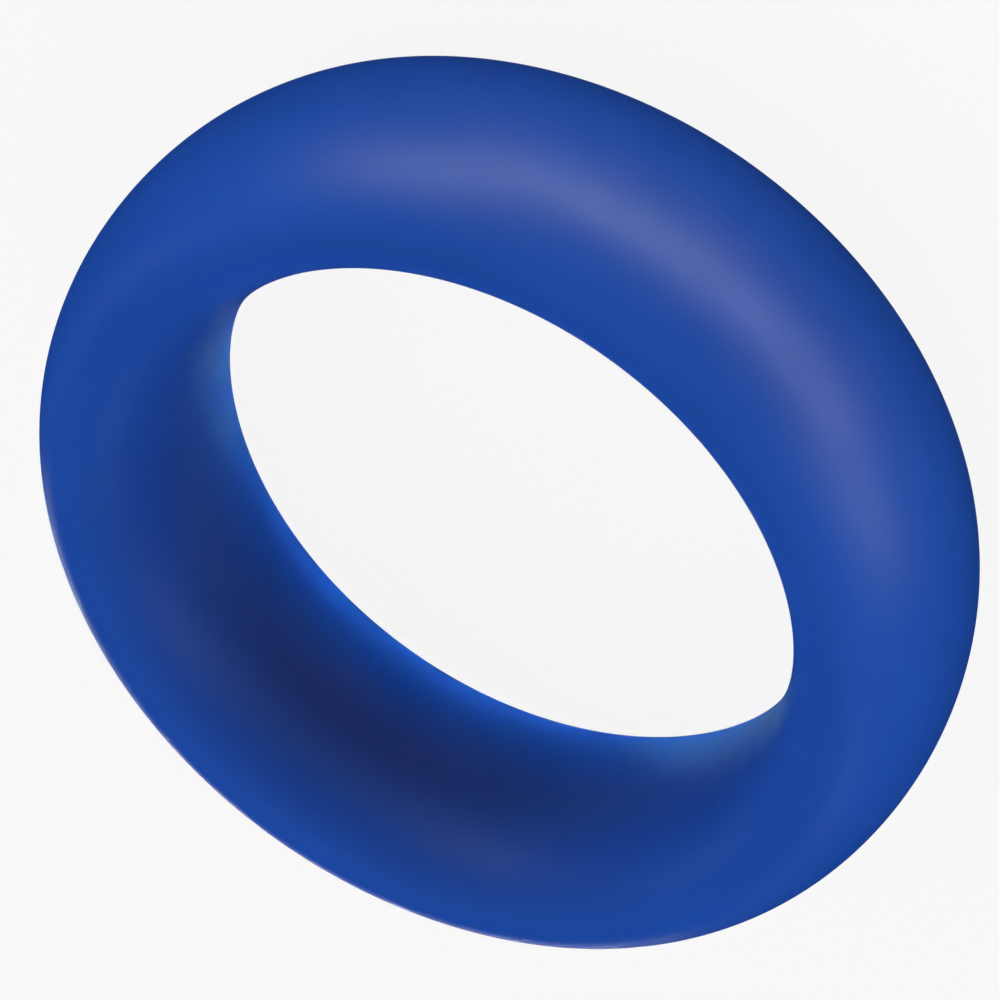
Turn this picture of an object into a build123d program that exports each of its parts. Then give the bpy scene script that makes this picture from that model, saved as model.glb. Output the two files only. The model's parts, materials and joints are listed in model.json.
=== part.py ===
"""Soft flying ring: a foam core closed inside a rubber skin that is moulded in two halves.

The ring lies flat. Its axis is Z, and the lowest point of its skin is at Z = 0.
The section of its tube is an upright oval, about twice as tall as it is thick.
The halves of the skin meet at mid height, where the tongue of the lower one stands
behind the lip of the upper one, with a film of rubber cement between them.
All dimensions are in millimetres.
"""

import os

from build123d import *

# Driving dimensions
outer_diameter = 180.0
section_width = 28.6  # thickness of the tube, measured along a radius of the ring
section_height = 54.6  # height of the tube, measured along the axis of the ring
skin_thickness = 2.0
lip_thickness = 0.9
tongue_height = 4.0
cement_thickness = 0.25

# Derived dimensions
ring_radius = (outer_diameter - section_width) / 2
mid_height = section_height / 2
tongue_inset = lip_thickness + cement_thickness
rebate_height = tongue_height + cement_thickness

# The tube's section lies in this plane, with its centre at the plane's origin
section_plane = Plane(origin=(ring_radius, 0, mid_height), x_dir=(1, 0, 0), z_dir=(0, -1, 0))


def oval(inset, mode=Mode.ADD):
    """Draw the tube's oval section with both of its half-axes shortened by the inset."""
    Ellipse(section_width / 2 - inset, section_height / 2 - inset, mode=mode)


def wall_band(outer_inset, inner_inset, low, high):
    """Return the layer between two insets, cut off at two heights above the tube's centre."""
    with BuildSketch() as band:
        oval(outer_inset)
        oval(inner_inset, mode=Mode.SUBTRACT)
        with Locations((0, (low + high) / 2)):
            Rectangle(section_width, high - low, mode=Mode.INTERSECT)
    return band.sketch


def seam_cement(side):
    """Return the cement of one lap joint: side is +1 for the outer one, -1 for the inner one."""
    with BuildPart() as cement:
        with BuildSketch(section_plane):
            add(wall_band(lip_thickness, skin_thickness, 0, rebate_height))
            add(wall_band(tongue_inset, skin_thickness, 0, tongue_height), mode=Mode.SUBTRACT)
            with Locations((side * section_width / 4, 0)):
                Rectangle(section_width / 2, section_height, mode=Mode.INTERSECT)
        revolve(axis=Axis.Z)
    return cement.part


# Foam core: one moulded ring, which gives the flying ring its shape and its spring
with BuildPart() as foam_core:
    with BuildSketch(section_plane):
        oval(skin_thickness)
    revolve(axis=Axis.Z)

# Lower skin: the bottom half of the cover, with a tongue round each edge
with BuildPart() as lower_skin:
    with BuildSketch(section_plane):
        add(wall_band(0, skin_thickness, -mid_height, 0))
        add(wall_band(tongue_inset, skin_thickness, 0, tongue_height))
    revolve(axis=Axis.Z)

# Upper skin: the top half of the cover, rebated inside so that a lip is left round each edge
with BuildPart() as upper_skin:
    with BuildSketch(section_plane):
        add(wall_band(0, skin_thickness, 0, mid_height))
        add(wall_band(lip_thickness, skin_thickness, 0, rebate_height), mode=Mode.SUBTRACT)
    revolve(axis=Axis.Z)

pieces = {
    "foam_core": foam_core.part,
    "lower_skin": lower_skin.part,
    "upper_skin": upper_skin.part,
    "outer_seam_cement": seam_cement(+1),
    "inner_seam_cement": seam_cement(-1),
}

os.makedirs("parts", exist_ok=True)
for name, piece in pieces.items():
    piece.label = name
    export_step(piece, f"parts/{name}.step")
    print(f"{name}: {len(piece.solids())} solid, {piece.volume / 1000:.2f} cm3")
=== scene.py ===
"""Soft rubber flying ring, lying on white paper in soft studio light.

Lengths are in metres. The ring lies flat round the Z axis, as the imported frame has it.
"""

import json
import math

import bmesh
import bpy
from mathutils import Matrix, Vector, noise


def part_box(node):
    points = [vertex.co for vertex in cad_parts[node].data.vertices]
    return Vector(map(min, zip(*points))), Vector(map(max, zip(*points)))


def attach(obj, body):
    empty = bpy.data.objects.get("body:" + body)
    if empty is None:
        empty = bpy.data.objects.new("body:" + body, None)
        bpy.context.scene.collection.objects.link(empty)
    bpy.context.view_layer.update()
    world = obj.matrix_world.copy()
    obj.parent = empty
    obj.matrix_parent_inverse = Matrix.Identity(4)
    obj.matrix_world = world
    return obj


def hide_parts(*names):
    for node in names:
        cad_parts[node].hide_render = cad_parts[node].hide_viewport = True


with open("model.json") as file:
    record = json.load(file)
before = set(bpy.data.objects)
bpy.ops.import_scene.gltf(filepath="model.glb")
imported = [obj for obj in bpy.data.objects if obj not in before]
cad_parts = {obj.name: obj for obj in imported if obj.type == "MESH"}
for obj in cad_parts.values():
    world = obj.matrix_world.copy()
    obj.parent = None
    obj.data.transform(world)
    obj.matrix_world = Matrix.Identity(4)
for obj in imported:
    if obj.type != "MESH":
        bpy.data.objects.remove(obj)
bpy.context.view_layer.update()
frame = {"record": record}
MM = 0.001

# ---------------------------------------------------------------- sizes, read from the frame

outer_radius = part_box("upper_skin")[1].x
mid_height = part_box("upper_skin")[0].z
half_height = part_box("upper_skin")[1].z - mid_height
skin_thickness = outer_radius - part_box("foam_core")[1].x
lip_thickness = outer_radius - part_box("outer_seam_cement")[1].x
tongue_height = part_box("lower_skin")[1].z - mid_height
rebate_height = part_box("outer_seam_cement")[1].z - mid_height
tongue_inset = lip_thickness + rebate_height - tongue_height
mounts = {mount["name"]: mount for mount in frame["record"]["mounts"]}
hole_radius = mounts["centre_hole"]["dims"]["r_mm"] * MM
half_width = (outer_radius - hole_radius) / 2
ring_radius = (outer_radius + hole_radius) / 2
tube_centre = Vector((0, 0, mid_height))

# ---------------------------------------------------------------- the section of the tube

ROUND_STEPS = 384  # points round the ring
ARC_STEPS = 80  # points over the outside of one skin
FOAM_STEPS = 160  # points round the foam's oval
SHARP_ANGLE = math.radians(50)  # edges that turn further than this stay sharp
EDGE_RADIUS = 0.02 * MM
EDGE_GUARD = 4 * EDGE_RADIUS  # height of the point that keeps the rounding out of the shading
EDGE_TURNS = [math.radians(degrees) for degrees in (90, 60, 30)]


def oval_point(inset, angle):
    """A point of the tube's oval, in (outward, upward) lengths from the tube's centre."""
    return Vector(((half_width - inset) * math.cos(angle), (half_height - inset) * math.sin(angle)))


def angle_at(inset, height):
    """The angle at which that oval's outer side reaches a height above the tube's centre."""
    return math.asin(height / (half_height - inset))


def oval_arc(inset, start, end, steps):
    """Points of the oval from one angle to another, both ends included."""
    return [oval_point(inset, start + (end - start) * i / steps) for i in range(steps + 1)]


def mirrored(points):
    """The same points on the other side of the tube, in reverse order, so that a loop goes on."""
    return [Vector((-p.x, p.y)) for p in reversed(points)]


def outside_wall(side):
    """A skin's outside, from the outer parting edge to the hole's.

    side is +1 for the upper skin and -1 for the lower. A point close to each edge keeps the
    edge's rounding out of the shading of the wide wall beside it.
    """
    edge, guard = angle_at(0, EDGE_RADIUS), angle_at(0, EDGE_GUARD)
    wall = oval_arc(0, guard, math.pi - guard, ARC_STEPS)
    points = [oval_point(0, edge)] + wall + [oval_point(0, math.pi - edge)]
    return [Vector((p.x, side * p.y)) for p in points]


def moulded_edge(side):
    """The rounded edge between a skin's parting face and its outside."""
    centre = Vector((half_width - EDGE_RADIUS, side * EDGE_RADIUS))
    return [centre + EDGE_RADIUS * Vector((math.cos(turn), -side * math.sin(turn))) for turn in EDGE_TURNS]


def upper_skin_outline():
    """Over the outside from the outer parting edge to the hole's, and back along the inside."""
    lip = [
        oval_point(lip_thickness, angle_at(lip_thickness, rebate_height)),
        oval_point(lip_thickness, 0),
    ]
    rebate_angle = angle_at(skin_thickness, rebate_height)
    inside = oval_arc(skin_thickness, math.pi - rebate_angle, rebate_angle, ARC_STEPS // 2)
    edge = moulded_edge(+1)
    return edge + outside_wall(+1) + mirrored(edge) + mirrored(lip) + inside + lip


def lower_skin_outline():
    """The same for the lower skin, with the tongue that stands up inside each parting edge."""
    tongue = [
        oval_point(skin_thickness, angle_at(skin_thickness, tongue_height)),
        oval_point(tongue_inset, angle_at(tongue_inset, tongue_height)),
        oval_point(tongue_inset, 0),
    ]
    inside = oval_arc(skin_thickness, -math.pi, 0, ARC_STEPS // 2)
    edge = moulded_edge(-1)
    return edge + outside_wall(-1) + mirrored(edge) + mirrored(tongue) + inside + tongue


def foam_outline():
    """The oval inside the skins, once round."""
    return oval_arc(skin_thickness, 0, 2 * math.pi, FOAM_STEPS)[:-1]


def cement_outline(side):
    """The film in one lap joint: up between lip and tongue, over the tongue, down to the parting face."""
    film = [
        oval_point(lip_thickness, 0),
        oval_point(lip_thickness, angle_at(lip_thickness, rebate_height)),
        oval_point(skin_thickness, angle_at(skin_thickness, rebate_height)),
        oval_point(skin_thickness, angle_at(skin_thickness, tongue_height)),
        oval_point(tongue_inset, angle_at(tongue_inset, tongue_height)),
        oval_point(tongue_inset, 0),
    ]
    return film if side > 0 else mirrored(film)


# ---------------------------------------------------------------- meshes

CELL_RELIEF = 0.10 * MM
CELL_SIZE = 2.5 * MM


def revolved(name, outline, relief=None):
    """A closed ring with that outline. relief gives how far a point sinks towards the tube's centre."""
    builder = bmesh.new()
    rows = []
    for i in range(ROUND_STEPS):
        turn = 2 * math.pi * i / ROUND_STEPS
        outward = Vector((math.cos(turn), math.sin(turn), 0))
        centre = outward * ring_radius + tube_centre
        row = []
        for p in outline:
            place = centre + outward * p.x + Vector((0, 0, p.y))
            if relief:
                place -= (place - centre).normalized() * relief(place)
            row.append(builder.verts.new(place))
        rows.append(row)
    count = len(outline)
    for i in range(ROUND_STEPS):
        near, far = rows[i], rows[(i + 1) % ROUND_STEPS]
        for j in range(count):
            k = (j + 1) % count
            builder.faces.new((near[j], far[j], far[k], near[k]))
    bmesh.ops.recalc_face_normals(builder, faces=builder.faces)
    mesh = bpy.data.meshes.new(name)
    builder.to_mesh(mesh)
    builder.free()
    mesh.shade_smooth()
    mesh.set_sharp_from_angle(angle=SHARP_ANGLE)
    piece = bpy.data.objects.new(name, mesh)
    bpy.context.scene.collection.objects.link(piece)
    return piece


def foam_relief(place):
    """The shallow dimples of foam that was moulded against a metal tool."""
    return CELL_RELIEF * (0.5 + 0.5 * noise.noise(place / CELL_SIZE))


# ---------------------------------------------------------------- materials


class Surface:
    """A material whose node tree is built step by step round one Principled shader."""

    def __init__(self, name):
        self.material = bpy.data.materials.new(name)
        self.material.use_nodes = True
        self.tree = self.material.node_tree
        self.shader = self.tree.nodes["Principled BSDF"]
        # Object coordinates are metres in the part's frame, because every piece sits at the origin.
        self.place = self.tree.nodes.new("ShaderNodeTexCoord").outputs["Object"]

    def fixed(self, **settings):
        """Sets shader sockets to numbers or colours. An underscore stands for a space."""
        for name, value in settings.items():
            self.shader.inputs[name.replace("_", " ")].default_value = value

    def driven(self, socket, output):
        """Links a node's output to a shader socket."""
        self.tree.links.new(output, self.shader.inputs[socket])

    def noise(self, feature_size, detail=2.0):
        """Soft noise from 0 to 1 with features of about that size."""
        node = self.tree.nodes.new("ShaderNodeTexNoise")
        node.inputs["Scale"].default_value = 1 / feature_size
        node.inputs["Detail"].default_value = detail
        self.tree.links.new(self.place, node.inputs["Vector"])
        return node.outputs["Fac"]

    def cells(self, cell_size):
        """Distance from the middle of the nearest cell, for cells of about that size."""
        node = self.tree.nodes.new("ShaderNodeTexVoronoi")
        node.feature = "SMOOTH_F1"
        node.inputs["Scale"].default_value = 1 / cell_size
        self.tree.links.new(self.place, node.inputs["Vector"])
        return node.outputs["Distance"]

    def ranged(self, value, span, result):
        """A value taken from the range span to the range result, and held within it."""
        node = self.tree.nodes.new("ShaderNodeMapRange")
        ends = {"From Min": span[0], "From Max": span[1], "To Min": result[0], "To Max": result[1]}
        for name, end in ends.items():
            node.inputs[name].default_value = end
        self.tree.links.new(value, node.inputs["Value"])
        return node.outputs["Result"]

    def blended(self, share, first, second):
        """A colour that goes from first to second as share goes from 0 to 1."""
        node = self.tree.nodes.new("ShaderNodeMix")
        node.data_type = "RGBA"
        sockets = {socket.identifier: socket for socket in node.inputs}
        self.tree.links.new(share, sockets["Factor_Float"])
        for name, colour in (("A_Color", first), ("B_Color", second)):
            if isinstance(colour, tuple):
                sockets[name].default_value = (*colour, 1)
            else:
                self.tree.links.new(colour, sockets[name])
        return next(output for output in node.outputs if output.identifier == "Result_Color")

    def bumped(self, *layers):
        """Adds bumps, each given as (value from 0 to 1, height of 1)."""
        normal = None
        for value, rise in layers:
            node = self.tree.nodes.new("ShaderNodeBump")
            node.inputs["Distance"].default_value = rise
            self.tree.links.new(value, node.inputs["Height"])
            if normal:
                self.tree.links.new(normal, node.inputs["Normal"])
            normal = node.outputs["Normal"]
        self.driven("Normal", normal)


NOISE_SPAN = (0.3, 0.7)  # most of a noise's values lie in this range
WHOLE = (0, 1)

PIGMENT_DARK = (0.0110, 0.0625, 0.348)
PIGMENT_LIGHT = (0.0120, 0.0675, 0.376)
CLOUD_SIZE = 38 * MM
CLOUD_SPAN = (0.35, 0.65)
SPECK_COLOUR = (0.015, 0.075, 0.40)
SPECK_SIZE = 0.45 * MM
SPECK_SPAN = (0.62, 0.74)
SPECK_SHARE = (0, 0.35)
SKIN_PATCH_SIZE = 9 * MM
SKIN_ROUGHNESS = (0.42, 0.48)
GRAIN_SIZE = 0.35 * MM
GRAIN_HEIGHT = 0.010 * MM
FLOW_SIZE = 6 * MM
FLOW_HEIGHT = 0.030 * MM


def skin_rubber():
    """Blue moulded rubber: satin, very finely grained, with faint clouds in the pigment."""
    rubber = Surface("skin_rubber")
    rubber.fixed(Specular_IOR_Level=0.5)
    clouds = rubber.ranged(rubber.noise(CLOUD_SIZE, detail=3), CLOUD_SPAN, WHOLE)
    pigment = rubber.blended(clouds, PIGMENT_DARK, PIGMENT_LIGHT)
    specks = rubber.ranged(rubber.noise(SPECK_SIZE, detail=1), SPECK_SPAN, SPECK_SHARE)
    rubber.driven("Base Color", rubber.blended(specks, pigment, SPECK_COLOUR))
    patches = rubber.noise(SKIN_PATCH_SIZE)
    rubber.driven("Roughness", rubber.ranged(patches, NOISE_SPAN, SKIN_ROUGHNESS))
    grain = rubber.noise(GRAIN_SIZE)
    flow = rubber.noise(FLOW_SIZE)
    rubber.bumped((grain, GRAIN_HEIGHT), (flow, FLOW_HEIGHT))
    return rubber.material


FOAM_DARK = (0.61, 0.60, 0.55)
FOAM_LIGHT = (0.67, 0.66, 0.61)
FOAM_TONE_SIZE = 25 * MM
CELL_SHADE = (0.50, 0.48, 0.43)
CELL_SPAN = (0.1, 0.6)
CELL_SHADE_SHARE = (0, 0.6)
FINE_CELL_SIZE = 0.6 * MM
FINE_CELL_HEIGHT = 0.06 * MM
COARSE_CELL_SIZE = 1.7 * MM
COARSE_CELL_HEIGHT = 0.12 * MM
FOAM_PATCH_SIZE = 4 * MM
FOAM_ROUGHNESS = (0.82, 0.95)


def core_foam():
    """Off-white closed-cell foam with its moulded skin of small cells."""
    foam = Surface("core_foam")
    foam.fixed(Specular_IOR_Level=0.25)
    fine = foam.cells(FINE_CELL_SIZE)
    coarse = foam.cells(COARSE_CELL_SIZE)
    tone = foam.ranged(foam.noise(FOAM_TONE_SIZE), NOISE_SPAN, WHOLE)
    body = foam.blended(tone, FOAM_DARK, FOAM_LIGHT)
    shade = foam.ranged(fine, CELL_SPAN, CELL_SHADE_SHARE)
    foam.driven("Base Color", foam.blended(shade, body, CELL_SHADE))
    patches = foam.noise(FOAM_PATCH_SIZE)
    foam.driven("Roughness", foam.ranged(patches, NOISE_SPAN, FOAM_ROUGHNESS))
    foam.bumped((fine, FINE_CELL_HEIGHT), (coarse, COARSE_CELL_HEIGHT))
    return foam.material


CEMENT_DARK = (0.15, 0.09, 0.032)
CEMENT_LIGHT = (0.25, 0.17, 0.068)
STREAK_SIZE = 2.2 * MM
CEMENT_PATCH_SIZE = 1.5 * MM
CEMENT_ROUGHNESS = (0.60, 0.75)
BUBBLE_SIZE = 0.8 * MM
BUBBLE_HEIGHT = 0.03 * MM


def seam_cement():
    """Cured rubber cement: amber, matt, with brush marks and small bubbles."""
    cement = Surface("seam_cement")
    cement.fixed(Specular_IOR_Level=0.4)
    streaks = cement.ranged(cement.noise(STREAK_SIZE, detail=4), NOISE_SPAN, WHOLE)
    cement.driven("Base Color", cement.blended(streaks, CEMENT_DARK, CEMENT_LIGHT))
    patches = cement.noise(CEMENT_PATCH_SIZE)
    cement.driven("Roughness", cement.ranged(patches, NOISE_SPAN, CEMENT_ROUGHNESS))
    cement.bumped((cement.cells(BUBBLE_SIZE), BUBBLE_HEIGHT))
    return cement.material


PAPER_DARK = (0.035, 0.035, 0.035)
PAPER_LIGHT = (0.045, 0.045, 0.045)
PAPER_GLOW = 0.90
FIBRE_SIZE = 1.2 * MM
TOOTH_SIZE = 0.8 * MM
TOOTH_HEIGHT = 0.01 * MM


def floor_paper():
    """Matt white studio paper. Most of its white is its own glow, so that it is even to its far edge."""
    paper = Surface("floor_paper")
    paper.fixed(Specular_IOR_Level=0.0, Roughness=0.9)
    paper.fixed(Emission_Color=(1, 1, 1, 1), Emission_Strength=PAPER_GLOW)
    fibres = paper.ranged(paper.noise(FIBRE_SIZE, detail=3), NOISE_SPAN, WHOLE)
    paper.driven("Base Color", paper.blended(fibres, PAPER_DARK, PAPER_LIGHT))
    paper.bumped((paper.noise(TOOTH_SIZE), TOOTH_HEIGHT))
    paper.material.cycles.emission_sampling = "NONE"
    return paper.material


# ---------------------------------------------------------------- the ring

rubber, foam, cement = skin_rubber(), core_foam(), seam_cement()
PIECES = (
    ("upper_rubber_skin", "upper_skin", "skin_rubber", rubber, upper_skin_outline(), None),
    ("lower_rubber_skin", "lower_skin", "skin_rubber", rubber, lower_skin_outline(), None),
    ("moulded_foam_core", "foam_core", "core_foam", foam, foam_outline(), foam_relief),
    ("outer_cement_film", "outer_seam_cement", "seam_cement", cement, cement_outline(+1), None),
    ("inner_cement_film", "inner_seam_cement", "seam_cement", cement, cement_outline(-1), None),
)
for name, node, slot, material, outline, relief in PIECES:
    piece = revolved(name, outline, relief)
    piece.data.materials.append(material)
    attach(piece, "root")
    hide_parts(node)

# ---------------------------------------------------------------- camera

VIEW_ELEVATION = math.radians(45.4)
VIEW_ROLL = math.radians(143.8)
VIEW_DISTANCE = 14.13 * ring_radius
LENS = 209.8
SHIFT = (-0.0028, 0.0132)
FAR_CLIP = 10


def add_camera():
    """A long lens that looks down at the ring, turned round its own axis."""
    towards_camera = Vector((0, -math.cos(VIEW_ELEVATION), math.sin(VIEW_ELEVATION)))
    level_right = Vector((1, 0, 0))
    level_up = towards_camera.cross(level_right)
    right = math.cos(VIEW_ROLL) * level_right - math.sin(VIEW_ROLL) * level_up
    up = math.sin(VIEW_ROLL) * level_right + math.cos(VIEW_ROLL) * level_up
    camera = bpy.data.objects.new("camera", bpy.data.cameras.new("camera"))
    turned = Matrix((right, up, towards_camera)).transposed().to_4x4()
    camera.matrix_world = Matrix.Translation(tube_centre + VIEW_DISTANCE * towards_camera) @ turned
    camera.data.lens = LENS
    camera.data.shift_x, camera.data.shift_y = SHIFT
    camera.data.clip_end = FAR_CLIP
    bpy.context.scene.collection.objects.link(camera)
    bpy.context.scene.camera = camera


add_camera()

# ---------------------------------------------------------------- floor

FLOOR_REACH = 3.0


def add_floor():
    """A wide sheet of paper on the ground. The ring doesn't see its glow: add_hole_glow stands for that."""
    mesh = bpy.data.meshes.new("floor")
    directions = ((-1, -1), (1, -1), (1, 1), (-1, 1))
    corners = [(x * FLOOR_REACH, y * FLOOR_REACH, 0) for x, y in directions]
    mesh.from_pydata(corners, [], [(0, 1, 2, 3)])
    mesh.materials.append(floor_paper())
    floor = bpy.data.objects.new("floor", mesh)
    floor.visible_diffuse = False
    floor.visible_glossy = False
    bpy.context.scene.collection.objects.link(floor)


add_floor()

# ---------------------------------------------------------------- lights

# A light's brightness is its radiance, so it looks the same at any size and distance.
# As "fill" a light shades the surfaces, and as "sheen" it is seen in their gloss. Angles are in
# degrees: azimuth 0 is the camera's side, and 90 is +X.

LAMP_DISTANCE = 1.2
LAMP_HALF_ANGLE = math.radians(15)
LAMP_DIAMETER = 2 * LAMP_DISTANCE * math.tan(LAMP_HALF_ANGLE)

# Azimuth on each side, elevation, brightness.
FILL_LAMPS = ((120, 62, 3.0), (150, 42, 3.0), (120, 22, 3.0), (90, 22, 2.1))
# Azimuth, brightness.
LOW_SHEEN_LAMPS = {60: 0.8, 120: 0.3, 240: 0.3, 300: 0.8}
LOW_SHEEN_ELEVATION = 22
HIGH_SHEEN_LAMPS = {0: 0.2, 90: 0.2, 180: 0.2, 270: 0.2}
HIGH_SHEEN_ELEVATION = 62

# Upright cards that face the ring.
HIGH_CARD = {"distance": 0.36, "low": 0.036, "high": 0.10, "width": 0.18}
LOW_STRIP = {"distance": 0.20, "low": 0.001, "high": 0.014, "width": 0.09}
OUTER_STRIP = {"distance": 0.26, "low": 0.001, "high": 0.036, "width": 0.11}
# Azimuth, brightness.
FILL_CARDS = {-75: 4.3, -50: 6.2, -25: 6.2, 0: 6.2, 25: 6.2, 50: 6.2, 75: 4.3}
LOW_STRIPS = {-25: 10.5, 0: 13, 25: 13}
BACK_STRIPS = {157: 4, 180: 4, 203: 4}
OUTER_STRIPS = {-50: 3.4, 50: 4.4}
SHEEN_CARDS = {-50: 1.2, 50: 2.2}

# A card that stands in the hole and faces the far wall.
HOLE_CARD_PLACE = Vector((0, -0.01, 0.045))
HOLE_CARD_SIZE = (0.10, 0.05)
HOLE_CARD_BRIGHTNESS = 0.3

# Discs that lie in the hole and shine up. Each pair is distance from the axis, brightness.
ABOVE_FLOOR = 0.4 * MM
GLOW_DIAMETER = 14 * MM
FAR_AZIMUTHS = range(120, 241, 15)
FAR_GLOW = (0.059, 4.2)
END_AZIMUTHS = (72, 84, 96, 108)
END_GLOW = (0.054, 7.0)
END_SHEEN_AZIMUTHS = (98, 110, 122, 134)
END_SHEEN = (0.056, 0.65)
END_SHEEN_COLOUR = (0.4, 1, 1)  # the blue ring tinges the paper beside it
HOLE_SHEEN_DIAMETER = 0.09
HOLE_SHEEN_BRIGHTNESS = 0.25

WHITE = (1, 1, 1)
UP = Vector((0, 0, 1))
BACKWARD = Vector((0, 1, 0))


def direction(azimuth, elevation):
    """The way from the ring to a light."""
    a, e = math.radians(azimuth), math.radians(elevation)
    return Vector((math.sin(a) * math.cos(e), -math.cos(a) * math.cos(e), math.sin(e)))


def add_light(name, shape, size, place, facing, brightness, use, colour=WHITE):
    """An area light, which the camera doesn't see."""
    light = bpy.data.lights.new(name, "AREA")
    light.shape = shape
    light.size, light.size_y = size
    area = size[0] * size[1] * (math.pi / 4 if shape == "ELLIPSE" else 1)
    light.energy = brightness * area * math.pi
    light.color = colour
    # With this on, a light that is hidden from the gloss still leaves a pale veil in it.
    light.cycles.use_multiple_importance_sampling = False
    holder = bpy.data.objects.new(name, light)
    holder.location = place
    holder.rotation_mode = "QUATERNION"
    holder.rotation_quaternion = facing.to_track_quat("-Z", "Y")
    holder.visible_camera = False
    holder.visible_glossy = use != "fill"
    holder.visible_diffuse = use != "sheen"
    bpy.context.scene.collection.objects.link(holder)


def add_lamp(name, azimuth, elevation, brightness, use):
    """A round lamp, far off, that faces the ring."""
    way = direction(azimuth, elevation)
    size = (LAMP_DIAMETER, LAMP_DIAMETER)
    add_light(name, "ELLIPSE", size, tube_centre + LAMP_DISTANCE * way, -way, brightness, use)


def add_card(name, azimuth, card, brightness, use):
    """An upright glowing card near the ring."""
    way = direction(azimuth, 0)
    low, high = card["low"], card["high"]
    place = card["distance"] * way + (low + high) / 2 * UP
    add_light(name, "RECTANGLE", (card["width"], high - low), place, -way, brightness, use)


def add_glow(name, azimuth, distance, brightness, use, colour=WHITE):
    """A small disc that lies in the ring's hole and shines up at the wall beside it."""
    place = distance * direction(azimuth, 0) + ABOVE_FLOOR * UP
    size = (GLOW_DIAMETER, GLOW_DIAMETER)
    add_light(name, "ELLIPSE", size, place, UP, brightness, use, colour)


def add_fill():
    """Soft light from lamps behind and above, and from a bow of cards on the camera's side."""
    for side in (-1, 1):
        for azimuth, elevation, brightness in FILL_LAMPS:
            add_lamp(f"lamp_{side * azimuth}_{elevation}", side * azimuth, elevation, brightness, "fill")
    for azimuth, brightness in FILL_CARDS.items():
        add_card(f"fill_card_{azimuth}", azimuth, HIGH_CARD, brightness, "fill")


def add_hole_glow():
    """Light off the white paper in the hole. It brightens the far wall's foot and both its ends."""
    size = (HOLE_SHEEN_DIAMETER, HOLE_SHEEN_DIAMETER)
    add_light("hole_sheen", "ELLIPSE", size, ABOVE_FLOOR * UP, UP, HOLE_SHEEN_BRIGHTNESS, "sheen")
    for azimuth in FAR_AZIMUTHS:
        add_glow(f"far_glow_{azimuth}", azimuth, *FAR_GLOW, "fill")
    for side in (-1, 1):
        for azimuth in END_AZIMUTHS:
            add_glow(f"end_glow_{side * azimuth}", side * azimuth, *END_GLOW, "fill")
        for azimuth in END_SHEEN_AZIMUTHS:
            name = f"end_sheen_{side * azimuth}"
            add_glow(name, side * azimuth, *END_SHEEN, "sheen", END_SHEEN_COLOUR)


def add_sheen():
    """Low strips draw the long highlight in front and a weaker one behind. Other lights add a weak sheen."""
    for azimuth, brightness in LOW_STRIPS.items():
        add_card(f"low_strip_{azimuth}", azimuth, LOW_STRIP, brightness, "sheen")
    for azimuth, brightness in BACK_STRIPS.items():
        add_card(f"back_strip_{azimuth}", azimuth, LOW_STRIP, brightness, "sheen")
    for azimuth in OUTER_STRIPS:
        add_card(f"outer_strip_{azimuth}", azimuth, OUTER_STRIP, OUTER_STRIPS[azimuth], "sheen")
        add_card(f"sheen_card_{azimuth}", azimuth, HIGH_CARD, SHEEN_CARDS[azimuth], "sheen")
    for azimuth, brightness in LOW_SHEEN_LAMPS.items():
        add_lamp(f"low_sheen_{azimuth}", azimuth, LOW_SHEEN_ELEVATION, brightness, "sheen")
    for azimuth, brightness in HIGH_SHEEN_LAMPS.items():
        add_lamp(f"high_sheen_{azimuth}", azimuth, HIGH_SHEEN_ELEVATION, brightness, "sheen")
    place, brightness = HOLE_CARD_PLACE, HOLE_CARD_BRIGHTNESS
    add_light("hole_card", "RECTANGLE", HOLE_CARD_SIZE, place, BACKWARD, brightness, "sheen")


add_fill()
add_hole_glow()
add_sheen()

# ---------------------------------------------------------------- background and output

# The camera alone sees this background, so it sheds no light on the ring.
PALE = 0.94
world = bpy.data.worlds.new("studio")
bpy.context.scene.world = world
world.use_nodes = True
world.node_tree.nodes["Background"].inputs["Color"].default_value = (PALE, PALE, PALE, 1)
world.cycles_visibility.diffuse = False
world.cycles_visibility.glossy = False
bpy.context.scene.view_settings.view_transform = "Standard"
